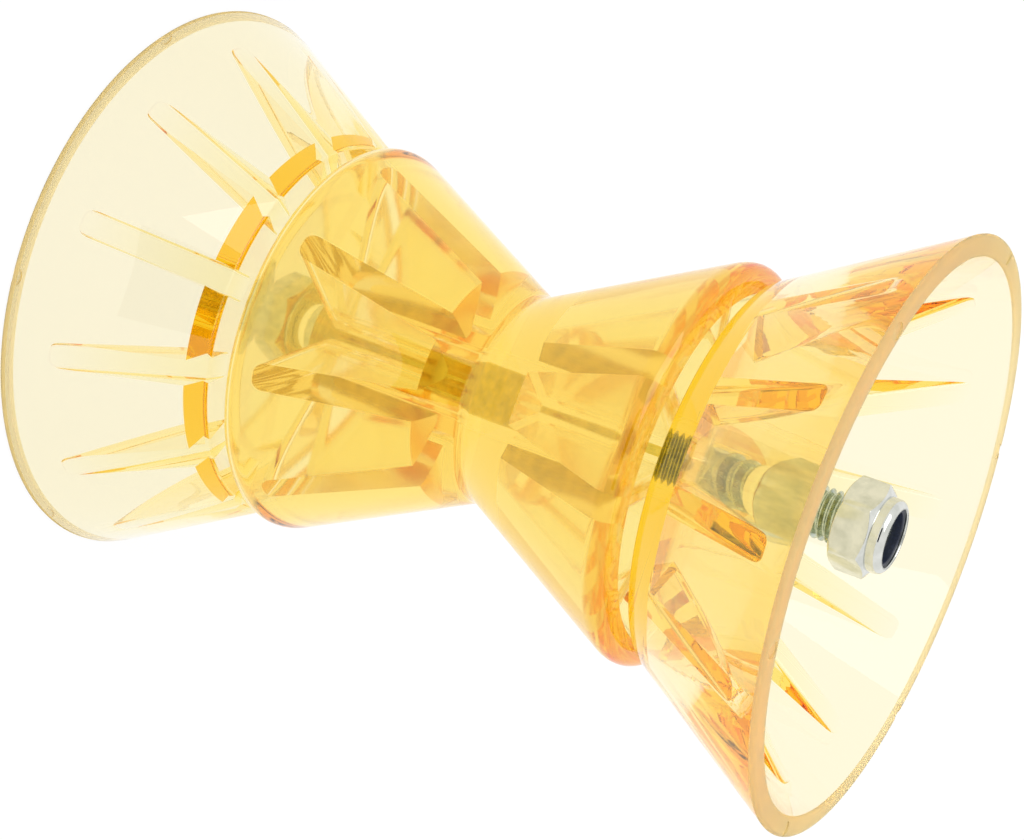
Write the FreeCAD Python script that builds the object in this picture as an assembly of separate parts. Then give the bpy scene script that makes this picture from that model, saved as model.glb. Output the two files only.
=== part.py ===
import FreeCAD, Part
import math
import os

# Boat trailer roller: an hourglass spool between two bell-shaped ends, all turning freely on one bolt.
# The bolt's axis is +Z and the lower bell stands on its rim at z = 0.
# Lengths are in millimetres, angles in degrees.

# The two end bells are one moulding, used twice. Diameters are those of sharp corners, before rounding.
rim_diameter = 138.5
bell_narrow_diameter = 92.0
bell_length = 41.4
bell_wall = 4.6
bell_floor = 7.2
rim_edge_radius = 1.1
narrow_edge_radius = 1.5
gusset_count = 12
gusset_thickness = 6.2
gusset_depth = 11.0
gusset_tip_from_rim = 7.0
gusset_corner_radius = 1.9
ejector_mark_count = 6
ejector_mark_diameter = 3.8
ejector_mark_depth = 0.4
lower_bell_angle = 25.9
upper_bell_angle = 10.5

# Spool, its end diameter that of the sharp corner too
spool_length = 100.8
spool_end_diameter = 100.0
spool_neck_diameter = 51.0
neck_land = 2.2
spool_wall = 7.5
spool_edge_radius = 4.2
neck_core_length = 27.2
hub_diameter = 22.0
spool_rib_count = 8
spool_rib_root_thickness = 7.0
spool_rib_tip_thickness = 6.0
spool_rib_setback = 3.7
spool_rib_corner_radius = 2.2
spool_rib_angle = 21.3

# Room for the trailer bracket's cheek between the spool and each bell
cheek_gap = 4.6

# Bolt and nuts, M12. A hexagon's end face is a circle, this share of the width across its flats.
shank_diameter = 11.9
thread_diameter = 11.86
thread_run_in = 4.4
bolt_tip_chamfer = 1.3
head_height = 7.5
head_across_flats = 19.0
head_angle = 8.0
washer_face_height = 0.5
washer_face_diameter = 17.2
nut_across_flats = 19.0
hexagon_face_share = 0.95
hexagon_chamfer_angle = 30.0
plain_nut_height = 10.0
plain_nut_angle = 23.0
lock_nut_height = 12.0
lock_nut_hexagon_height = 8.6
lock_nut_collar_diameter = 17.2
lock_nut_collar_radius = 1.8
lock_nut_collar_wall = 1.0
lock_nut_lip = 0.9
lock_nut_lip_thickness = 0.8
lock_nut_angle = 10.9
lock_nut_below_rim = 0.7
bolt_end_below_lock_nut = 2.6
insert_height = 2.8

# A rounding that is turned about the axis is made of this many flats, which keeps its mesh light
rounding_flat_count = 3

# Clearances
running_clearance = 0.08
seat_clearance = 0.3
thread_clearance = 0.05
insert_clearance = 0.05

# Heights along the bolt, all worked out from the sizes above
lower_floor_z = bell_length - bell_floor
spool_start_z = bell_length + cheek_gap
upper_bell_start_z = spool_start_z + spool_length + cheek_gap
upper_floor_z = upper_bell_start_z + bell_floor
upper_rim_z = upper_bell_start_z + bell_length
under_head_z = lower_floor_z - seat_clearance
lock_nut_top_z = upper_rim_z - lock_nut_below_rim
bolt_end_z = lock_nut_top_z - bolt_end_below_lock_nut
thread_start_z = upper_bell_start_z - thread_run_in
plain_nut_z = upper_floor_z + seat_clearance
lock_nut_z = lock_nut_top_z - lock_nut_height

# The lock nut's groove for its insert, from the nut's own foot
groove_radius = lock_nut_collar_diameter / 2 - lock_nut_collar_wall
insert_top_z = lock_nut_height - lock_nut_lip_thickness

axis_origin = FreeCAD.Vector(0, 0, 0)
up = FreeCAD.Vector(0, 0, 1)
bore_radius = max(shank_diameter, thread_diameter) / 2 + running_clearance
cut_margin = 1.0


# A closed outline in the plane of first and second. Each corner is (a, b) or (a, b, radius),
# and its rounding is an arc, or as many flats as asked.
def outline(corners, first, second, flats=None):
    def place(point):
        return first * point[0] + second * point[1]

    def towards(start, end, distance):
        length = math.dist(start, end)
        return tuple(start[k] + (end[k] - start[k]) * distance / length for k in range(2))

    # The points along the rounding at each corner, in order
    roundings = []
    for index, corner in enumerate(corners):
        point = corner[:2]
        radius = corner[2] if len(corner) > 2 else 0
        if not radius:
            roundings.append([point])
            continue
        before = corners[index - 1][:2]
        after = corners[(index + 1) % len(corners)][:2]
        to_before = math.atan2(before[1] - point[1], before[0] - point[0])
        to_after = math.atan2(after[1] - point[1], after[0] - point[0])
        half = abs(math.remainder(to_after - to_before, 2 * math.pi)) / 2
        start = towards(point, before, radius / math.tan(half))
        end = towards(point, after, radius / math.tan(half))
        chord_middle = tuple((start[k] + end[k]) / 2 for k in range(2))
        centre = towards(point, chord_middle, radius / math.sin(half))
        start_angle = math.atan2(start[1] - centre[1], start[0] - centre[0])
        end_angle = math.atan2(end[1] - centre[1], end[0] - centre[0])
        sweep = math.remainder(end_angle - start_angle, 2 * math.pi)
        steps = flats or 2
        turns = [start_angle + sweep * k / steps for k in range(steps + 1)]
        roundings.append([(centre[0] + radius * math.cos(turn), centre[1] + radius * math.sin(turn))
                          for turn in turns])

    edges = []
    for index, points in enumerate(roundings):
        if len(points) == 3 and not flats:
            edges.append(Part.Arc(*[place(point) for point in points]).toShape())
        else:
            for start, end in zip(points, points[1:]):
                edges.append(Part.LineSegment(place(start), place(end)).toShape())
        after = roundings[(index + 1) % len(roundings)][0]
        edges.append(Part.LineSegment(place(points[-1]), place(after)).toShape())
    return Part.Face(Part.Wire(edges))


# A solid turned about the bolt's axis, from corners given as (radius, height)
def turned(corners):
    face = outline(corners, FreeCAD.Vector(1, 0, 0), up, rounding_flat_count)
    return face.revolve(axis_origin, up, 360)


# Equal copies of a shape spaced round the bolt's axis
def ring_of(shape, count, first_angle):
    copies = []
    for index in range(count):
        copy = shape.copy()
        copy.rotate(axis_origin, up, first_angle + 360.0 * index / count)
        copies.append(copy)
    return copies


def cylinder(radius, z_low, z_high):
    return Part.makeCylinder(radius, z_high - z_low, FreeCAD.Vector(0, 0, z_low))


def moved_to(shape, z):
    shape.translate(FreeCAD.Vector(0, 0, z))
    return shape


# One bell, rim down at z = 0, with a gusset at angle 0
def end_bell():
    rim_radius = rim_diameter / 2
    narrow_radius = bell_narrow_diameter / 2
    slope = (rim_radius - narrow_radius) / bell_length
    wall_across = bell_wall * math.hypot(1, slope)
    inner_rim_radius = rim_radius - wall_across
    floor_z = bell_length - bell_floor
    inner_floor_radius = inner_rim_radius - slope * floor_z

    shell = turned([
        (rim_radius, 0, rim_edge_radius),
        (narrow_radius, bell_length, narrow_edge_radius),
        (0, bell_length),
        (0, floor_z),
        (inner_floor_radius, floor_z),
        (inner_rim_radius, 0, rim_edge_radius),
    ])

    # A gusset is a wedge under the wall, with its two outer corners rounded where it meets the wall
    into_wall = bell_wall / 2
    tip_radius = inner_rim_radius - slope * gusset_tip_from_rim
    wedge = outline([
        (tip_radius, gusset_tip_from_rim),
        (tip_radius + into_wall, gusset_tip_from_rim),
        (inner_floor_radius + into_wall, floor_z + into_wall),
        (inner_floor_radius - gusset_depth, floor_z + into_wall),
        (inner_floor_radius - gusset_depth, floor_z),
    ], FreeCAD.Vector(1, 0, 0), up)
    half = gusset_thickness / 2
    wedge.translate(FreeCAD.Vector(0, -half, 0))
    wedge = wedge.extrude(FreeCAD.Vector(0, gusset_thickness, 0))
    plate = outline([
        (-half, gusset_tip_from_rim, gusset_corner_radius),
        (half, gusset_tip_from_rim, gusset_corner_radius),
        (half, bell_length),
        (-half, bell_length),
    ], FreeCAD.Vector(0, 1, 0), up).extrude(FreeCAD.Vector(rim_radius, 0, 0))
    gusset = wedge.common(plate)
    bell = shell.fuse(ring_of(gusset, gusset_count, 0))

    mark_radius = ejector_mark_diameter / 2
    mark_centre = FreeCAD.Vector(rim_radius - wall_across / 2, 0, -cut_margin)
    mark = Part.makeCylinder(mark_radius, ejector_mark_depth + cut_margin, mark_centre)
    marks = ring_of(mark, ejector_mark_count, 180.0 / gusset_count)
    bore = cylinder(bore_radius, floor_z - cut_margin, bell_length + cut_margin)
    return bell.cut(marks + [bore]).removeSplitter()


def lower_end_bell():
    bell = end_bell()
    bell.rotate(axis_origin, up, lower_bell_angle)
    return bell


# The same moulding turned over, so its rim is up
def upper_end_bell():
    bell = end_bell()
    bell.rotate(axis_origin, FreeCAD.Vector(1, 0, 0), 180)
    bell.rotate(axis_origin, up, upper_bell_angle)
    return moved_to(bell, upper_rim_z)


# The pockets at one end of the spool, cut by its ribs; z = 0 is the spool's middle
def spool_pockets():
    neck_radius = spool_neck_diameter / 2
    end_z = spool_length / 2
    slope = (spool_end_diameter / 2 - neck_radius) / (end_z - neck_land / 2)
    wall_across = spool_wall * math.hypot(1, slope)
    floor_z = neck_core_length / 2
    mouth_z = end_z + cut_margin

    def inner_radius(z):
        return neck_radius + slope * (z - neck_land / 2) - wall_across

    cavity = turned([
        (hub_diameter / 2, floor_z),
        (inner_radius(floor_z), floor_z),
        (inner_radius(mouth_z), mouth_z),
        (hub_diameter / 2, mouth_z),
    ])
    root = spool_rib_root_thickness / 2
    tip = spool_rib_tip_thickness / 2
    rib = outline([
        (-root, floor_z - cut_margin),
        (root, floor_z - cut_margin),
        (tip, end_z - spool_rib_setback, spool_rib_corner_radius),
        (-tip, end_z - spool_rib_setback, spool_rib_corner_radius),
    ], FreeCAD.Vector(0, 1, 0), up).extrude(FreeCAD.Vector(spool_end_diameter / 2, 0, 0))
    return cavity.cut(ring_of(rib, spool_rib_count, spool_rib_angle))


def spool_roller():
    end_radius = spool_end_diameter / 2
    neck_radius = spool_neck_diameter / 2
    end_z = spool_length / 2
    blank = turned([
        (0, -end_z),
        (end_radius, -end_z, spool_edge_radius),
        (neck_radius, -neck_land / 2),
        (neck_radius, neck_land / 2),
        (end_radius, end_z, spool_edge_radius),
        (0, end_z),
    ])
    upper_pockets = spool_pockets()
    lower_pockets = upper_pockets.mirror(axis_origin, up)
    bore = cylinder(bore_radius, -end_z - cut_margin, end_z + cut_margin)
    spool = blank.cut([upper_pockets, lower_pockets, bore])
    return moved_to(spool, spool_start_z + end_z)


# A hexagon from z = 0 up, its corners chamfered at both ends
def chamfered_hexagon(across_flats, height, angle):
    corner_radius = across_flats / 2 / math.cos(math.radians(30))
    face_radius = hexagon_face_share * across_flats / 2
    points = []
    for index in range(7):
        turn = math.radians(angle + 60 * index)
        points.append(FreeCAD.Vector(corner_radius * math.cos(turn), corner_radius * math.sin(turn), 0))
    prism = Part.Face(Part.makePolygon(points)).extrude(up * height)
    wide_radius = corner_radius + cut_margin
    rise = (wide_radius - face_radius) * math.tan(math.radians(hexagon_chamfer_angle))
    envelope = turned([
        (0, 0),
        (face_radius, 0),
        (wide_radius, rise),
        (wide_radius, height - rise),
        (face_radius, height),
        (0, height),
    ])
    return prism.common(envelope)


def hex_bolt():
    head = chamfered_hexagon(head_across_flats, head_height - washer_face_height, head_angle)
    moved_to(head, under_head_z - head_height)
    washer_face = cylinder(washer_face_diameter / 2, under_head_z - washer_face_height, under_head_z)
    thread_radius = thread_diameter / 2
    shank_radius = shank_diameter / 2
    stem = turned([
        (0, under_head_z - washer_face_height),
        (shank_radius, under_head_z - washer_face_height),
        (shank_radius, thread_start_z),
        (thread_radius, thread_start_z),
        (thread_radius, bolt_end_z - bolt_tip_chamfer),
        (thread_radius - bolt_tip_chamfer, bolt_end_z),
        (0, bolt_end_z),
    ])
    return head.fuse([washer_face, stem]).removeSplitter()


def plain_hex_nut():
    nut = chamfered_hexagon(nut_across_flats, plain_nut_height, plain_nut_angle)
    hole = cylinder(thread_diameter / 2 + thread_clearance, -cut_margin, plain_nut_height + cut_margin)
    return moved_to(nut.cut(hole), plain_nut_z)


# The lock nut's collar is curled in over the insert ring that it holds
def lock_nut_body():
    hexagon = chamfered_hexagon(nut_across_flats, lock_nut_hexagon_height, lock_nut_angle)
    collar_radius = lock_nut_collar_diameter / 2
    collar = turned([
        (0, lock_nut_hexagon_height - cut_margin),
        (collar_radius, lock_nut_hexagon_height - cut_margin),
        (collar_radius, lock_nut_height, lock_nut_collar_radius),
        (0, lock_nut_height),
    ])
    hole = cylinder(thread_diameter / 2 + thread_clearance, -cut_margin, lock_nut_height)
    groove = cylinder(groove_radius, insert_top_z - insert_height, insert_top_z)
    mouth = cylinder(groove_radius - lock_nut_lip, insert_top_z, lock_nut_height + cut_margin)
    nut = hexagon.fuse(collar).cut([hole, groove, mouth]).removeSplitter()
    return moved_to(nut, lock_nut_z)


def nylon_insert_ring():
    bottom_z = insert_top_z - insert_height
    ring = cylinder(groove_radius - insert_clearance, bottom_z, insert_top_z)
    hole = cylinder(thread_diameter / 2 + thread_clearance, bottom_z - cut_margin, insert_top_z + cut_margin)
    return moved_to(ring.cut(hole), lock_nut_z)


pieces = {
    "spool_roller": spool_roller,
    "lower_end_bell": lower_end_bell,
    "upper_end_bell": upper_end_bell,
    "hex_bolt": hex_bolt,
    "plain_hex_nut": plain_hex_nut,
    "lock_nut_body": lock_nut_body,
    "nylon_insert_ring": nylon_insert_ring,
}

os.makedirs("parts", exist_ok=True)
for name, build in pieces.items():
    shape = build()
    if shape.ShapeType == "Compound" and len(shape.Solids) == 1:
        shape = shape.Solids[0]
    shape.exportStep("parts/" + name + ".step")
    print(name, "solids", len(shape.Solids), "valid", shape.isValid(), "volume", round(shape.Volume))
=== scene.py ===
import math
import bmesh
import bpy
from mathutils import Matrix, Vector


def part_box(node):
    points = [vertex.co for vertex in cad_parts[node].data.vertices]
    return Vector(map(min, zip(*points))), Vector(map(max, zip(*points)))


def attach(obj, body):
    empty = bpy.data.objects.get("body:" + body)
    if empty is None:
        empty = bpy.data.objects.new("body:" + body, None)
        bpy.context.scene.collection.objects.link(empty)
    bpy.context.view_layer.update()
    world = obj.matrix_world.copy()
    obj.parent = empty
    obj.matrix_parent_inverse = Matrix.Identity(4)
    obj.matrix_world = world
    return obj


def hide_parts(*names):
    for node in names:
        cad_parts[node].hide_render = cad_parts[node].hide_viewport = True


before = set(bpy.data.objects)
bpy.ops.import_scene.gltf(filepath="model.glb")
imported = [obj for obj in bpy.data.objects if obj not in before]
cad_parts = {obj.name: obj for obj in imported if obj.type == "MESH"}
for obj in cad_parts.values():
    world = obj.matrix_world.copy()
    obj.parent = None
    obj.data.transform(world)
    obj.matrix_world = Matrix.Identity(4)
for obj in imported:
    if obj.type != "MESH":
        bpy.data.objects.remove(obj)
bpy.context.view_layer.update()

mm = 0.001
print("frame loaded:", len(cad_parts), "nodes")


# ---- modelling helpers

def editMode(piece):
    bpy.context.view_layer.objects.active = piece
    bpy.ops.object.mode_set(mode="EDIT")


def objectMode():
    bpy.ops.object.mode_set(mode="OBJECT")


def selectOnly(*pieces):
    bpy.ops.object.select_all(action="DESELECT")
    for piece in pieces:
        piece.select_set(True)
    bpy.context.view_layer.objects.active = pieces[0]


def newest(name):
    piece = bpy.context.active_object
    piece.name = name
    piece.data.name = name
    return piece


def pick(piece, kind, test):
    # in edit mode, selects the elements whose middle (in mm) passes the test of radius, z and point
    bpy.context.tool_settings.mesh_select_mode = (kind == "verts", kind == "edges", kind == "faces")
    bpy.ops.mesh.select_all(action="DESELECT")
    mesh = bmesh.from_edit_mesh(piece.data)
    chosen = 0
    for item in getattr(mesh, kind):
        if kind == "verts":
            middle = item.co / mm
        elif kind == "edges":
            middle = (item.verts[0].co + item.verts[1].co) / 2 / mm
        else:
            middle = item.calc_center_median() / mm
        if test(math.hypot(middle.x, middle.y), middle.z, middle):
            item.select_set(True)
            chosen += 1
    bmesh.update_edit_mesh(piece.data)
    return chosen


def near(value, target, slack=0.06):
    return abs(value - target) < slack


def applyModifier(piece, kind, **settings):
    selectOnly(piece)
    modifier = piece.modifiers.new(kind.title(), kind)
    for key, value in settings.items():
        setattr(modifier, key, value)
    bpy.ops.object.modifier_apply(modifier=modifier.name)


def combine(piece, tool, operation):
    applyModifier(piece, "BOOLEAN", object=tool, operation=operation, solver="EXACT")
    bpy.data.objects.remove(tool)


def placed(piece, turn=(0, 0, 0), lift=0.0, scale=(1, 1, 1)):
    selectOnly(piece)
    piece.rotation_euler = [math.radians(angle) for angle in turn]
    piece.location = (0, 0, lift * mm)
    piece.scale = scale
    bpy.ops.object.transform_apply(location=True, rotation=True, scale=True)
    return piece


def copyOf(piece, name):
    selectOnly(piece)
    bpy.ops.object.duplicate()
    return newest(name)


def ringOf(piece, count, firstAngle):
    copies = [copyOf(piece, piece.name + "Copy") for k in range(count - 1)]
    for k, copy in enumerate([piece] + copies):
        placed(copy, turn=(0, 0, firstAngle + 360 * k / count))
    selectOnly(piece, *copies)
    bpy.ops.object.join()
    return piece


def boreThrough(piece, lowRadius, lowZ, highRadius, highZ, boreRadius):
    # insets both end faces down to the bore and bridges the two holes
    for radius, z in ((lowRadius, lowZ), (highRadius, highZ)):
        pick(piece, "faces", lambda r, h, p: near(h, z) and r < 0.5)
        bpy.ops.mesh.inset(thickness=(radius - boreRadius) * mm)
        bpy.ops.mesh.delete(type="FACE")
    pick(piece, "edges", lambda r, h, p: near(r, boreRadius) and (near(h, lowZ) or near(h, highZ)))
    bpy.ops.mesh.bridge_edge_loops()


def roundEdges(piece, width, segments, test):
    pick(piece, "edges", test)
    bpy.ops.mesh.bevel(offset=width * mm, segments=segments, affect="EDGES")


def smoothed(piece, degrees=30):
    selectOnly(piece)
    editMode(piece)
    bpy.ops.mesh.select_all(action="SELECT")
    bpy.ops.mesh.remove_doubles(threshold=0.002 * mm)
    objectMode()
    bpy.ops.object.shade_smooth_by_angle(angle=math.radians(degrees))


# ---- end bells: one moulding, rim down at z = 0, used twice (sizes in mm)

bell = {
    "rimRadius": 69.25, "narrowRadius": 46.0, "length": 41.4, "wallAcross": 5.276, "floor": 7.2,
    "boreRadius": 6.03, "rimRound": 1.88, "mouthRound": 0.64, "narrowRound": 0.88, "sides": 192,
    "gussetCount": 12, "gussetThickness": 6.2, "gussetDepth": 11.0, "gussetFromRim": 7.0,
    "gussetIntoWall": 2.3, "gussetRound": 1.9, "gussetEdge": 1.1,
    "markCount": 6, "markRadius": 1.9, "markDepth": 0.4,
    "lowerAngle": 25.9, "upperAngle": 10.5,
}


def bellShell():
    floorZ = bell["length"] - bell["floor"]
    slope = (bell["rimRadius"] - bell["narrowRadius"]) / bell["length"]
    mouthRadius = bell["rimRadius"] - bell["wallAcross"]
    floorRadius = mouthRadius - slope * floorZ
    bpy.ops.mesh.primitive_cone_add(
        vertices=bell["sides"], radius1=bell["rimRadius"] * mm, radius2=bell["narrowRadius"] * mm,
        depth=bell["length"] * mm, location=(0, 0, bell["length"] / 2 * mm))
    shell = placed(newest("bellShell"), lift=bell["length"] / 2)
    editMode(shell)
    # the cup: an inset rim, its inside pushed up to the floor and narrowed
    pick(shell, "faces", lambda r, z, p: near(z, 0) and r < 0.5)
    bpy.ops.mesh.inset(thickness=bell["wallAcross"] * mm)
    bpy.ops.mesh.extrude_region_move(TRANSFORM_OT_translate={"value": (0, 0, floorZ * mm)})
    narrowing = floorRadius / mouthRadius
    bpy.ops.transform.resize(value=(narrowing, narrowing, 1), center_override=(0, 0, floorZ * mm))
    boreThrough(shell, floorRadius, floorZ, bell["narrowRadius"], bell["length"], bell["boreRadius"])
    roundEdges(shell, bell["rimRound"], 6, lambda r, z, p: near(z, 0) and near(r, bell["rimRadius"]))
    roundEdges(shell, bell["mouthRound"], 3, lambda r, z, p: near(z, 0) and near(r, mouthRadius))
    roundEdges(shell, bell["narrowRound"], 4,
               lambda r, z, p: near(z, bell["length"]) and near(r, bell["narrowRadius"]))
    objectMode()
    return shell, slope, mouthRadius, floorZ


def bellGussets(slope, mouthRadius, floorZ):
    # a wedge under the wall: thin near the rim, deep where it meets the floor
    lowZ = bell["gussetFromRim"]
    highZ = floorZ + bell["gussetIntoWall"]
    tipRadius = mouthRadius - slope * lowZ
    floorRadius = mouthRadius - slope * floorZ
    lean = (tipRadius - floorRadius + bell["gussetDepth"]) / (floorZ - lowZ)
    innerX = tipRadius - lean * (highZ - lowZ)
    outerX = floorRadius + bell["gussetIntoWall"]
    width = outerX - innerX
    bpy.ops.mesh.primitive_cube_add(size=mm)
    gusset = newest("gusset")
    gusset.scale = (width, bell["gussetThickness"], highZ - lowZ)
    gusset.location = ((innerX + outerX) / 2 * mm, 0, (lowZ + highZ) / 2 * mm)
    bpy.ops.object.transform_apply(location=True, rotation=True, scale=True)
    editMode(gusset)
    pick(gusset, "faces", lambda r, z, p: near(z, lowZ))
    middleX = (innerX + outerX) / 2
    bpy.ops.transform.resize(value=(bell["gussetIntoWall"] / width, 1, 1),
                             center_override=(middleX * mm, 0, lowZ * mm))
    bpy.ops.transform.translate(
        value=((tipRadius + bell["gussetIntoWall"] / 2 - middleX) * mm, 0, 0))
    half = bell["gussetThickness"] / 2
    roundEdges(gusset, bell["gussetRound"], 6, lambda r, z, p: near(z, lowZ) and near(abs(p.y), half))
    # the edges of its inner face
    roundEdges(gusset, bell["gussetEdge"], 5,
               lambda r, z, p: near(p.x, tipRadius - lean * (z - lowZ)) and z < highZ - 1)
    objectMode()
    return ringOf(gusset, bell["gussetCount"], 0)


def bellMarks():
    # shallow round marks of the ejector pins, in the flat of the rim
    depth = bell["markDepth"] + 1
    bpy.ops.mesh.primitive_cylinder_add(vertices=40, radius=bell["markRadius"] * mm, depth=depth * mm)
    mark = newest("ejectorMark")
    mark.location = ((bell["rimRadius"] - bell["wallAcross"] / 2) * mm, 0,
                     (bell["markDepth"] - depth / 2) * mm)
    bpy.ops.object.transform_apply(location=True, rotation=True, scale=True)
    return ringOf(mark, bell["markCount"], 180 / bell["gussetCount"])


shell, slope, mouthRadius, floorZ = bellShell()
combine(shell, bellGussets(slope, mouthRadius, floorZ), "UNION")
combine(shell, bellMarks(), "DIFFERENCE")
smoothed(shell)
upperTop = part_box("upper_end_bell")[1][2] / mm
upperBell = placed(copyOf(shell, "upper_bell_moulding"), turn=(180, 0, 0))
placed(upperBell, turn=(0, 0, bell["upperAngle"]), lift=upperTop)
lowerBell = placed(shell, turn=(0, 0, bell["lowerAngle"]))
lowerBell.name = lowerBell.data.name = "lower_bell_moulding"
print("bells:", len(lowerBell.data.polygons), "faces each")


# ---- spool, built about its middle and lifted to its place

spool = {
    "length": 100.8, "endRadius": 50.0, "neckRadius": 25.5, "neckLand": 2.2, "wallAcross": 8.375,
    "coreLength": 27.2, "hubRadius": 11.0, "boreRadius": 6.03, "endRound": 6.77, "neckRound": 0.5,
    "ribCount": 8, "ribRoot": 7.0, "ribTip": 6.0, "ribSetback": 3.7, "ribRound": 2.2,
    "ribAngle": 21.3, "sides": 192,
}


def spoolBlank():
    end = spool["length"] / 2
    land = spool["neckLand"] / 2
    bpy.ops.mesh.primitive_cylinder_add(
        vertices=spool["sides"], radius=spool["endRadius"] * mm, depth=spool["length"] * mm)
    blank = newest("spool_moulding")
    editMode(blank)
    for z in (-land, land):
        bpy.ops.mesh.select_all(action="SELECT")
        bpy.ops.mesh.bisect(plane_co=(0, 0, z * mm), plane_no=(0, 0, 1))
    pick(blank, "verts", lambda r, z, p: abs(z) < land + 0.1)
    narrowing = spool["neckRadius"] / spool["endRadius"]
    bpy.ops.transform.resize(value=(narrowing, narrowing, 1), center_override=(0, 0, 0))
    boreThrough(blank, spool["endRadius"], -end, spool["endRadius"], end, spool["boreRadius"])
    roundEdges(blank, spool["endRound"], 10,
               lambda r, z, p: near(abs(z), end) and near(r, spool["endRadius"]))
    roundEdges(blank, spool["neckRound"], 3,
               lambda r, z, p: near(abs(z), land) and near(r, spool["neckRadius"]))
    objectMode()
    return blank


def spoolPockets():
    # the core of one end: a hollow cone round the hub, with the ribs taken out of it
    end = spool["length"] / 2
    slope = (spool["endRadius"] - spool["neckRadius"]) / (end - spool["neckLand"] / 2)
    lowZ = spool["coreLength"] / 2
    highZ = end + 1
    lowRadius, highRadius = (
        spool["neckRadius"] + slope * (z - spool["neckLand"] / 2) - spool["wallAcross"] for z in (lowZ, highZ))
    bpy.ops.mesh.primitive_cone_add(
        vertices=spool["sides"], radius1=lowRadius * mm, radius2=highRadius * mm, depth=(highZ - lowZ) * mm)
    core = placed(newest("spoolCore"), lift=(lowZ + highZ) / 2)
    editMode(core)
    boreThrough(core, lowRadius, lowZ, highRadius, highZ, spool["hubRadius"])
    objectMode()

    innerX, outerX = spool["hubRadius"] - 1.5, spool["endRadius"]
    topZ = end - spool["ribSetback"]
    bpy.ops.mesh.primitive_cube_add(size=mm)
    rib = newest("spoolRib")
    rib.scale = (outerX - innerX, spool["ribRoot"], topZ - lowZ + 1)
    rib.location = ((innerX + outerX) / 2 * mm, 0, (topZ + lowZ - 1) / 2 * mm)
    bpy.ops.object.transform_apply(location=True, rotation=True, scale=True)
    editMode(rib)
    pick(rib, "faces", lambda r, z, p: near(z, topZ))
    bpy.ops.transform.resize(value=(1, spool["ribTip"] / spool["ribRoot"], 1),
                             center_override=(0, 0, topZ * mm))
    half = spool["ribTip"] / 2
    roundEdges(rib, spool["ribRound"], 6, lambda r, z, p: near(z, topZ) and near(abs(p.y), half))
    objectMode()
    combine(core, ringOf(rib, spool["ribCount"], spool["ribAngle"]), "DIFFERENCE")
    return core


spoolPiece = spoolBlank()
upperCore = spoolPockets()
lowerCore = placed(copyOf(upperCore, "lowerCore"), scale=(1, 1, -1))
editMode(lowerCore)
bpy.ops.mesh.select_all(action="SELECT")
bpy.ops.mesh.normals_make_consistent(inside=False)
objectMode()
combine(spoolPiece, upperCore, "DIFFERENCE")
combine(spoolPiece, lowerCore, "DIFFERENCE")
smoothed(spoolPiece)
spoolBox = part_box("spool_roller")
placed(spoolPiece, lift=(spoolBox[0][2] + spoolBox[1][2]) / 2 / mm)
print("spool:", len(spoolPiece.data.polygons), "faces")


# ---- bolt, nuts and insert ring

bolt = {
    "shankRadius": 5.95, "threadRadius": 5.93, "threadStart": 147.0, "pitch": 1.75, "threadDepth": 1.05,
    "crestShare": 0.14, "rootShare": 0.2, "tipChamfer": 1.3, "stepsPerTurn": 48,
    "headHeight": 7.5, "washerFace": 0.5, "washerRadius": 8.6, "headAngle": 8.0,
    "acrossFlats": 19.0, "faceShare": 0.95, "chamferDegrees": 30.0, "edgeRound": 0.12,
}
plainNut = {"height": 10.0, "angle": 23.0, "holeRadius": 5.98}
lockNut = {
    "height": 12.0, "hexagonHeight": 8.6, "angle": 10.9, "collarRadius": 8.6, "collarRound": 1.8,
    "mouthRadius": 6.7, "lip": 0.8, "grooveRadius": 7.6, "grooveDepth": 2.8, "holeRadius": 5.98,
}
insertRing = {"outerRadius": 7.55, "holeRadius": 5.98, "height": 2.8, "edgeRound": 0.25}


def hexagon(name, height, lowZ, cornerAngle):
    # a prism cut by a disc with conical ends, as a turned and chamfered nut
    cornerRadius = bolt["acrossFlats"] / 2 / math.cos(math.radians(30))
    faceRadius = bolt["faceShare"] * bolt["acrossFlats"] / 2
    wideRadius = cornerRadius + 1
    rise = (wideRadius - faceRadius) * math.tan(math.radians(bolt["chamferDegrees"]))
    bpy.ops.mesh.primitive_cylinder_add(vertices=6, radius=cornerRadius * mm, depth=height * mm)
    prism = placed(newest(name), turn=(0, 0, cornerAngle - 90))
    bpy.ops.mesh.primitive_cylinder_add(vertices=120, radius=wideRadius * mm, depth=height * mm)
    disc = newest("chamferDisc")
    editMode(disc)
    for z in (rise - height / 2, height / 2 - rise):
        bpy.ops.mesh.select_all(action="SELECT")
        bpy.ops.mesh.bisect(plane_co=(0, 0, z * mm), plane_no=(0, 0, 1))
    pick(disc, "verts", lambda r, z, p: near(abs(z), height / 2))
    narrowing = faceRadius / wideRadius
    bpy.ops.transform.resize(value=(narrowing, narrowing, 1), center_override=(0, 0, 0))
    objectMode()
    combine(prism, disc, "INTERSECT")
    return placed(prism, lift=lowZ + height / 2)


def tube(name, outerRadius, holeRadius, lowZ, highZ):
    bpy.ops.mesh.primitive_cylinder_add(vertices=96, radius=outerRadius * mm, depth=(highZ - lowZ) * mm)
    piece = placed(newest(name), lift=(lowZ + highZ) / 2)
    if holeRadius:
        editMode(piece)
        boreThrough(piece, outerRadius, lowZ, outerRadius, highZ, holeRadius)
        objectMode()
    return piece


def softEdges(piece, width):
    applyModifier(piece, "BEVEL", width=width * mm, segments=2, limit_method="ANGLE",
                  angle_limit=math.radians(24), use_clamp_overlap=True)


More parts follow.
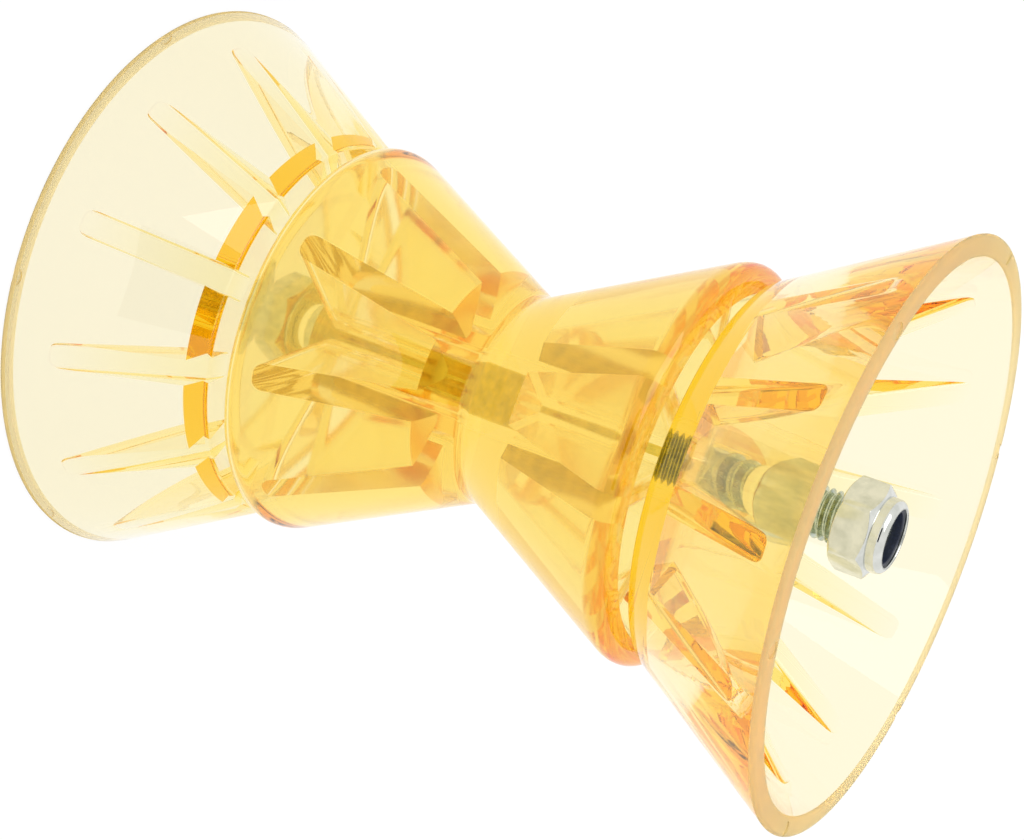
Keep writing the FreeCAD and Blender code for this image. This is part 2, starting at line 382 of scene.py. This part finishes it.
def threadedEnd(startZ, endZ):
    # one pitch of the thread's outline, screwed up the bolt, cut square below and chamfered at its tip
    root = bolt["threadRadius"] - bolt["threadDepth"]
    pitch = bolt["pitch"]
    crest, valley = bolt["crestShare"] * pitch, bolt["rootShare"] * pitch
    ramp = (pitch - crest - valley) / 2
    heights = [0, ramp, ramp + crest, 2 * ramp + crest, pitch]
    radii = [root, bolt["threadRadius"], bolt["threadRadius"], root, root]
    firstZ = startZ - 2 * pitch
    bpy.ops.mesh.primitive_plane_add(size=mm)
    thread = newest("thread")
    editMode(thread)
    pick(thread, "verts", lambda r, z, p: p.x > 0 or p.y > 0)
    bpy.ops.mesh.delete(type="VERT")
    # the one corner left is moved to the outline's foot and extruded up it
    bpy.ops.mesh.select_all(action="SELECT")
    corner = thread.data.vertices[0].co.copy() if thread.data.vertices else Vector()
    mesh = bmesh.from_edit_mesh(thread.data)
    mesh.verts.ensure_lookup_table()
    corner = mesh.verts[0].co.copy()
    bpy.ops.transform.translate(value=Vector((radii[0] * mm, 0, firstZ * mm)) - corner)
    for k in range(1, len(heights)):
        step = ((radii[k] - radii[k - 1]) * mm, 0, (heights[k] - heights[k - 1]) * mm)
        bpy.ops.mesh.extrude_vertices_move(TRANSFORM_OT_translate={"value": step})
    objectMode()
    turns = math.ceil((endZ - firstZ) / pitch) + 2
    applyModifier(thread, "SCREW", angle=math.radians(360), screw_offset=pitch * mm, iterations=turns,
                  steps=bolt["stepsPerTurn"], render_steps=bolt["stepsPerTurn"], use_merge_vertices=True,
                  merge_threshold=0.001 * mm, use_smooth_shade=True)
    editMode(thread)
    bpy.ops.mesh.select_all(action="SELECT")
    bpy.ops.mesh.remove_doubles(threshold=0.001 * mm)
    for z, side in ((startZ, {"clear_inner": True}), (endZ, {"clear_outer": True})):
        bpy.ops.mesh.select_all(action="SELECT")
        bpy.ops.mesh.bisect(plane_co=(0, 0, z * mm), plane_no=(0, 0, 1), use_fill=True, **side)
    bpy.ops.mesh.select_all(action="SELECT")
    bpy.ops.mesh.normals_make_consistent(inside=False)
    objectMode()
    tip = tube("tipCone", bolt["threadRadius"] + 0.4, 0, startZ - 2, endZ)
    editMode(tip)
    roundEdges(tip, bolt["tipChamfer"] + 0.4, 1,
               lambda r, z, p: near(z, endZ) and near(r, bolt["threadRadius"] + 0.4))
    objectMode()
    combine(thread, tip, "INTERSECT")
    return thread


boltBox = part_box("hex_bolt")
headZ = boltBox[0][2] / mm
tipZ = boltBox[1][2] / mm
underHead = headZ + bolt["headHeight"]
head = hexagon("hex_bolt_turned", bolt["headHeight"] - bolt["washerFace"], headZ, bolt["headAngle"])
softEdges(head, bolt["edgeRound"])
washerFace = tube("washerFace", bolt["washerRadius"], 0, underHead - bolt["washerFace"], underHead)
shank = tube("shank", bolt["shankRadius"], 0, underHead - 0.2, bolt["threadStart"])
editMode(shank)
roundEdges(shank, 0.9, 1, lambda r, z, p: near(z, bolt["threadStart"]) and near(r, bolt["shankRadius"]))
objectMode()
thread = threadedEnd(bolt["threadStart"] - 1.0, tipZ)
for part in (head, washerFace, shank, thread):
    smoothed(part, 35)
print("bolt: thread of", len(thread.data.polygons), "faces")

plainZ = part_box("plain_hex_nut")[0][2] / mm
nut = hexagon("plain_nut_turned", plainNut["height"], plainZ, plainNut["angle"])
hole = tube("nutHole", plainNut["holeRadius"], 0, plainZ - 1, plainZ + plainNut["height"] + 1)
combine(nut, hole, "DIFFERENCE")
softEdges(nut, bolt["edgeRound"])
smoothed(nut, 35)


def lockNutBody(footZ):
    hexagonTop = footZ + lockNut["hexagonHeight"]
    topZ = footZ + lockNut["height"]
    # the collar is rounded over, then its mouth, groove and thread are pushed down into it
    bpy.ops.mesh.primitive_cylinder_add(
        vertices=96, radius=lockNut["collarRadius"] * mm, depth=(topZ - footZ - 2) * mm)
    collar = placed(newest("lockNutCollar"), lift=(topZ + footZ + 2) / 2)
    editMode(collar)
    pick(collar, "faces", lambda r, z, p: near(z, topZ) and r < 0.5)
    bpy.ops.mesh.inset(thickness=(lockNut["collarRadius"] - lockNut["mouthRadius"]) * mm)
    z = topZ
    radius = lockNut["mouthRadius"]
    for drop, nextRadius in ((lockNut["lip"], lockNut["grooveRadius"]),
                             (lockNut["grooveDepth"], lockNut["holeRadius"])):
        bpy.ops.mesh.extrude_region_move(TRANSFORM_OT_translate={"value": (0, 0, -drop * mm)})
        z -= drop
        bpy.ops.mesh.extrude_region_move(TRANSFORM_OT_translate={"value": (0, 0, 0)})
        ratio = nextRadius / radius
        bpy.ops.transform.resize(value=(ratio, ratio, 1), center_override=(0, 0, z * mm))
        radius = nextRadius
    bpy.ops.mesh.delete(type="FACE")
    pick(collar, "faces", lambda r, h, p: near(h, footZ + 2) and r < 0.5)
    bpy.ops.mesh.inset(thickness=(lockNut["collarRadius"] - radius) * mm)
    bpy.ops.mesh.delete(type="FACE")
    pick(collar, "edges", lambda r, h, p: near(r, radius) and (near(h, footZ + 2) or near(h, z)))
    bpy.ops.mesh.bridge_edge_loops()
    roundEdges(collar, lockNut["collarRound"], 8,
               lambda r, h, p: near(h, topZ) and near(r, lockNut["collarRadius"]))
    roundEdges(collar, 0.3, 3, lambda r, h, p: near(h, topZ) and near(r, lockNut["mouthRadius"]))
    objectMode()
    body = hexagon("lock_nut_turned", lockNut["hexagonHeight"], footZ, lockNut["angle"])
    hole = tube("lockNutHole", radius, 0, footZ - 1, hexagonTop + 1)
    combine(body, hole, "DIFFERENCE")
    softEdges(body, bolt["edgeRound"])
    smoothed(collar, 35)
    smoothed(body, 35)
    selectOnly(body, collar)
    bpy.ops.object.join()
    return body


lockBody = lockNutBody(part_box("lock_nut_body")[0][2] / mm)
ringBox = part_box("nylon_insert_ring")
ringLow, ringHigh = ringBox[0][2] / mm, ringBox[1][2] / mm
ring = tube("insert_ring_moulded", insertRing["outerRadius"], insertRing["holeRadius"], ringLow, ringHigh)
editMode(ring)
roundEdges(ring, insertRing["edgeRound"], 3,
           lambda r, z, p: near(z, ringHigh) and near(r, insertRing["holeRadius"]))
objectMode()
smoothed(ring)
print("nuts and insert ring made")


# ---- materials

def linear(hexColour):
    # sRGB hex to linear
    channels = [int(hexColour[k:k + 2], 16) / 255 for k in (1, 3, 5)]
    return [c / 12.92 if c <= 0.04045 else ((c + 0.055) / 1.055) ** 2.4 for c in channels] + [1.0]


def addNode(tree, kind, settings=None, inputs=None, links=None):
    # settings are the node's own, inputs are socket values, links are socket name: output socket
    node = tree.nodes.new(kind)
    for key, value in (settings or {}).items():
        setattr(node, key, value)
    for key, value in (inputs or {}).items():
        node.inputs[key].default_value = value
    for key, source in (links or {}).items():
        tree.links.new(source, node.inputs[key])
    return node


def newMaterial(name):
    material = bpy.data.materials.new(name)
    material.use_nodes = True
    tree = material.node_tree
    tree.nodes.clear()
    return material, tree, addNode(tree, "ShaderNodeTexCoord").outputs["Object"]


def ramp(tree, factor, stops):
    node = addNode(tree, "ShaderNodeValToRGB", links={"Fac": factor})
    elements = node.color_ramp.elements
    while len(elements) < len(stops):
        elements.new(0.5)
    for element, (position, colour) in zip(elements, stops):
        element.position = position
        element.color = colour
    return node.outputs["Color"]


def castPolyurethane(name, look):
    # clear amber polyurethane, cast: polished where the mould was, matt on the frosted faces, and deeper
    # yellow where it is thick
    material, tree, place = newMaterial(name)
    frosted = addNode(tree, "ShaderNodeAttribute", {"attribute_name": "frosted"})
    hazy = addNode(tree, "ShaderNodeAttribute", {"attribute_name": "hazy"})
    tint = ramp(tree, frosted.outputs["Fac"], [(0.0, linear(look["tint"])), (1.0, linear(look["frostTint"]))])
    rough = addNode(tree, "ShaderNodeMath", {"operation": "MULTIPLY"}, inputs={1: look["frostRoughness"]},
                    links={0: frosted.outputs["Fac"]})
    clear = addNode(tree, "ShaderNodeMath", {"operation": "MULTIPLY_ADD"},
                    inputs={1: -look["frostHaze"], 2: 1.0}, links={0: hazy.outputs["Fac"]})
    skin = addNode(tree, "ShaderNodeBsdfPrincipled", inputs={"IOR": 1.49},
                   links={"Base Color": tint, "Roughness": rough.outputs[0],
                          "Transmission Weight": clear.outputs[0]})
    depth = addNode(tree, "ShaderNodeVolumeAbsorption",
                    inputs={"Color": look["depth"] + (1,), "Density": look["density"]})
    addNode(tree, "ShaderNodeOutputMaterial",
            links={"Surface": skin.outputs["BSDF"], "Volume": depth.outputs["Volume"]})
    return material


def brightZinc(name, colour, roughLow, roughHigh, blotch):
    # bright zinc plate with a clear blue-green passivation: mirror-like but cloudy, no grain
    material, tree, place = newMaterial(name)
    cloud = addNode(tree, "ShaderNodeTexNoise", inputs={"Scale": 1 / (blotch * mm), "Detail": 4.0},
                    links={"Vector": place})
    tone = ramp(tree, cloud.outputs["Fac"], [(0.35, linear(colour[0])), (0.65, linear(colour[1]))])
    rough = ramp(tree, cloud.outputs["Fac"], [(0.3, (roughLow,) * 3 + (1,)), (0.7, (roughHigh,) * 3 + (1,))])
    bump = addNode(tree, "ShaderNodeBump", inputs={"Strength": 0.08, "Distance": 0.05 * mm},
                   links={"Height": cloud.outputs["Fac"]})
    metal = addNode(tree, "ShaderNodeBsdfPrincipled", inputs={"Metallic": 1.0},
                    links={"Base Color": tone, "Roughness": rough, "Normal": bump.outputs["Normal"]})
    addNode(tree, "ShaderNodeOutputMaterial", links={"Surface": metal.outputs["BSDF"]})
    return material


def mouldedNylon():
    # navy nylon, moulded: a soft sheen over a fine grain
    material, tree, place = newMaterial("mouldedNavyNylon")
    grain = addNode(tree, "ShaderNodeTexNoise", inputs={"Scale": 1 / (0.5 * mm), "Detail": 3.0},
                    links={"Vector": place})
    tone = ramp(tree, grain.outputs["Fac"], [(0.3, linear("#0e1526")), (0.7, linear("#18223a"))])
    bump = addNode(tree, "ShaderNodeBump", inputs={"Strength": 0.3, "Distance": 0.05 * mm},
                   links={"Height": grain.outputs["Fac"]})
    plastic = addNode(tree, "ShaderNodeBsdfPrincipled", inputs={"Roughness": 0.42, "IOR": 1.53},
                      links={"Base Color": tone, "Normal": bump.outputs["Normal"]})
    addNode(tree, "ShaderNodeOutputMaterial", links={"Surface": plastic.outputs["BSDF"]})
    return material


def paleFloor():
    # camera, glossy and transmission rays see white with a light shadow, the light itself a plain white floor
    material, tree, place = newMaterial("paleStudioFloor")
    path = addNode(tree, "ShaderNodeLightPath")
    seen = addNode(tree, "ShaderNodeMath", {"operation": "MAXIMUM"})
    tree.links.new(path.outputs["Is Camera Ray"], seen.inputs[0])
    tree.links.new(path.outputs["Is Glossy Ray"], seen.inputs[1])
    seenThrough = addNode(tree, "ShaderNodeMath", {"operation": "MAXIMUM"})
    tree.links.new(seen.outputs[0], seenThrough.inputs[0])
    tree.links.new(path.outputs["Is Transmission Ray"], seenThrough.inputs[1])
    plain = addNode(tree, "ShaderNodeBsdfDiffuse", inputs={"Color": (0.8, 0.8, 0.8, 1)})
    shadowed = addNode(tree, "ShaderNodeBsdfDiffuse", inputs={"Color": (0.1, 0.1, 0.1, 1)})
    glow = addNode(tree, "ShaderNodeEmission", inputs={"Color": (1, 1, 1, 1), "Strength": 0.91})
    backdrop = addNode(tree, "ShaderNodeAddShader")
    tree.links.new(shadowed.outputs[0], backdrop.inputs[0])
    tree.links.new(glow.outputs[0], backdrop.inputs[1])
    choice = addNode(tree, "ShaderNodeMixShader", links={"Fac": seenThrough.outputs[0]})
    tree.links.new(plain.outputs[0], choice.inputs[1])
    tree.links.new(backdrop.outputs[0], choice.inputs[2])
    addNode(tree, "ShaderNodeOutputMaterial", links={"Surface": choice.outputs[0]})
    return material


def darkCloth():
    # black studio cloth, matt
    material, tree, place = newMaterial("blackStudioCloth")
    cloth = addNode(tree, "ShaderNodeBsdfDiffuse", inputs={"Color": linear("#262729")})
    addNode(tree, "ShaderNodeOutputMaterial", links={"Surface": cloth.outputs[0]})
    return material


bellLook = {"tint": "#fffaec", "frostTint": "#ffeebc", "frostRoughness": 1.0, "frostHaze": 0.3,
            "depth": (0.999, 0.951, 0.63), "density": 100.0}
spoolLook = {"tint": "#ffe87c", "frostTint": "#fffdf6", "frostRoughness": 0.09, "frostHaze": 0.0,
             "depth": (1.0, 0.972, 0.88), "density": 100.0}
bellAmber = castPolyurethane("castPolyurethaneBell", bellLook)
spoolAmber = castPolyurethane("castPolyurethaneSpool", spoolLook)
plate = brightZinc("brightZincPlate", ("#ccd1c8", "#e4e7df"), 0.1, 0.22, 2.5)
lockPlate = brightZinc("brightZincLockNut", ("#cdcfc8", "#e2e3de"), 0.05, 0.12, 3.5)
# the shank uses the bolt's zinc painted lighter than the head's plate, as painted light that brightens the amber
# around the shank
shankPlatePaintedLighter = brightZinc("brightZincShankPaintedLighter", ("#d4d7cb", "#eceee6"), 0.12, 0.24, 3.0)
threadPlate = brightZinc("rolledThreadZinc", ("#a8b2a2", "#d4dccd"), 0.18, 0.3, 1.5)
navy = mouldedNylon()
for piece, material in ((lowerBell, bellAmber), (upperBell, bellAmber), (spoolPiece, spoolAmber),
                        (head, plate), (washerFace, plate), (shank, shankPlatePaintedLighter), (thread, threadPlate), (nut, plate),
                        (lockBody, lockPlate), (ring, navy)):
    piece.data.materials.clear()
    piece.data.materials.append(material)
selectOnly(head, washerFace, shank, thread)
bpy.ops.object.join()


def markFrosted(piece, test, name="frosted"):
    # a face attribute that the material reads
    layer = piece.data.attributes.new(name, "FLOAT", "FACE")
    count = 0
    for face in piece.data.polygons:
        middle = face.center / mm
        if test(math.hypot(middle.x, middle.y), middle.z):
            layer.data[face.index].value = 1.0
            count += 1
    return count


spoolMiddle = (spoolBox[0][2] + spoolBox[1][2]) / 2 / mm
spoolSlope = (spool["endRadius"] - spool["neckRadius"]) / (spool["length"] / 2 - spool["neckLand"] / 2)
frost = {"rimDepth": 2.2, "hubRadius": 7.0, "underSkin": 5.0, "fromEnd": 0.2}


def onLowerRim(r, z):
    # the bells' rims, where the mould was topped up
    return z < frost["rimDepth"]


def onUpperRim(r, z):
    return z > upperTop - frost["rimDepth"]


def insidePocket(r, z):
    # the faces that the spool's cores made
    fromMiddle = abs(z - spoolMiddle)
    skinRadius = spool["neckRadius"] + (fromMiddle - spool["neckLand"] / 2) * spoolSlope
    return (spool["coreLength"] / 2 - 0.1 < fromMiddle < spool["length"] / 2 - frost["fromEnd"]
            and frost["hubRadius"] < r < skinRadius - frost["underSkin"])


print("frosted faces:", markFrosted(lowerBell, onLowerRim), markFrosted(upperBell, onUpperRim),
      markFrosted(spoolPiece, insidePocket))
print("hazy faces:", markFrosted(upperBell, onUpperRim, "hazy"))
print("materials set")

pieces = [
    (lowerBell, "lower_end_bell", "lower_bell", "clear_amber"),
    (upperBell, "upper_end_bell", "upper_bell", "clear_amber"),
    (spoolPiece, "spool_roller", "spool", "clear_amber"),
    (head, "hex_bolt", "bolt", "zinc_steel"),
    (nut, "plain_hex_nut", "bolt", "zinc_steel"),
    (lockBody, "lock_nut_body", "bolt", "zinc_steel"),
    (ring, "nylon_insert_ring", "bolt", "blue_nylon"),
]
for piece, node, body, slot in pieces:
    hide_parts(node)
    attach(piece, body)


# ---- floor, light and camera

studio = {"floorSize": 8.0, "floorDrop": 0.1, "lampSize": 1.2, "keyPower": 9.0, "fillPower": 5.0,
          "cardWidth": 0.5, "cardHeight": 0.22, "cardPlace": (0.05, -0.62, 0.42)}

bpy.ops.mesh.primitive_plane_add(size=studio["floorSize"], location=(0, 0, -studio["floorDrop"] * mm))
floor = newest("studio_floor")
floor.data.materials.append(paleFloor())


def softLamp(name, place, power, size, mirrored):
    bpy.ops.object.light_add(type="AREA", location=place)
    lamp = bpy.context.active_object
    lamp.name = name
    lamp.data.energy = power
    lamp.data.size = size
    aim = Vector((0, 0, 0.09)) - Vector(place)
    lamp.rotation_euler = aim.to_track_quat("-Z", "Y").to_euler()
    lamp.visible_camera = False
    lamp.visible_transmission = False
    lamp.visible_glossy = mirrored


softLamp("keyLamp", (-0.9, -0.8, 1.3), studio["keyPower"], studio["lampSize"], True)
softLamp("fillLamp", (1.2, -0.3, 1.0), studio["fillPower"], studio["lampSize"], False)

# a dark card beside the camera, seen only in the metal's reflections, draws the dark lines of bright plate
bpy.ops.mesh.primitive_plane_add(size=1)
card = newest("darkCard")
card.data.materials.append(darkCloth())
card.scale = (studio["cardWidth"], studio["cardHeight"], 1)
card.location = studio["cardPlace"]
card.rotation_euler = (Vector((0, 0, 0.18)) - card.location).to_track_quat("-Z", "Y").to_euler()
card.visible_camera = False
card.visible_diffuse = False
card.visible_transmission = False
card.visible_shadow = False

world = bpy.data.worlds.new("studioWorld")
bpy.context.scene.world = world
world.use_nodes = True
world.node_tree.nodes.clear()
around = addNode(world.node_tree, "ShaderNodeBackground", inputs={"Color": (1, 1, 1, 1), "Strength": 1.0})
addNode(world.node_tree, "ShaderNodeOutputWorld", links={"Surface": around.outputs[0]})

view = {
    "lens": 82.36,
    "place": (4.43, -496.92, 320.96),
    "right": (-0.34543, 0.38542, 0.85564),
    "up": (-0.93844, -0.14187, -0.31495),
    "back": (0.0, -0.91176, 0.41070),
}
bpy.ops.object.camera_add()
camera = bpy.context.active_object
camera.name = "photoCamera"
camera.data.lens = view["lens"]
camera.data.sensor_width = 36.0
camera.data.clip_end = 50.0
columns = [Vector(view[key]) for key in ("right", "up", "back")] + [Vector(view["place"]) * mm]
camera.matrix_world = Matrix([list(row) for row in zip(*columns)] + [[0, 0, 0, 1]])
bpy.context.scene.camera = camera

cycles = bpy.context.scene.cycles
cycles.max_bounces = 64
cycles.transmission_bounces = 64
cycles.glossy_bounces = 64
bpy.context.scene.view_settings.view_transform = "Standard"

print("scene ready")
